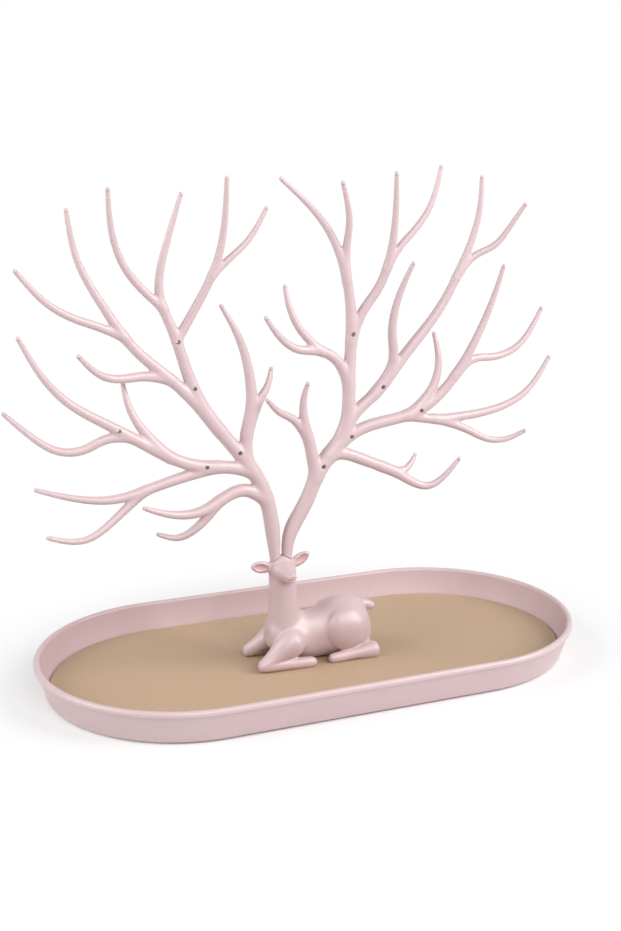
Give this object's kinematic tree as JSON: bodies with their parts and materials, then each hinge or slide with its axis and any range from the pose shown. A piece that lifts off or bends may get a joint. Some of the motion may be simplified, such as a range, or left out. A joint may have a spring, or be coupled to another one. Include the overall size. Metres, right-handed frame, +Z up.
{
  "type": "jewellery tree",
  "caption": "Jewellery stand: a lying deer with branching lift-out antlers for hanging jewellery, on a lipped oval tray with a soft tan pad.",
  "frame": {"origin": "middle of the tray, on the surface it stands on", "axes": "+X along the tray towards the deer's tail, -Y the way the deer looks, +Z up"},
  "size_m": [0.2679, 0.134, 0.2287],
  "materials": {
    "pink_plastic": "satin",
    "tan_pad": "matte",
    "foot_rubber": "matte",
    "screw_steel": "zinc plated"
  },
  "bodies": {
    "stand": {"tray": "pink_plastic", "tray_pad": "tan_pad", "deer": "pink_plastic", "deer_screws": "screw_steel", "foot_front_left": "foot_rubber", "foot_front_right": "foot_rubber", "foot_rear_left": "foot_rubber", "foot_rear_right": "foot_rubber"},
    "left_antler": {"left_antler": "pink_plastic"},
    "right_antler": {"right_antler": "pink_plastic"}
  },
  "joints": [
    {"name": "left_antler_lift", "type": "slide", "parent": "stand", "child": "left_antler", "axis": [0, 0, 1], "range_m": [0, 0.03]},
    {"name": "right_antler_lift", "type": "slide", "parent": "stand", "child": "right_antler", "axis": [0, 0, 1], "range_m": [0, 0.03]}
  ]
}
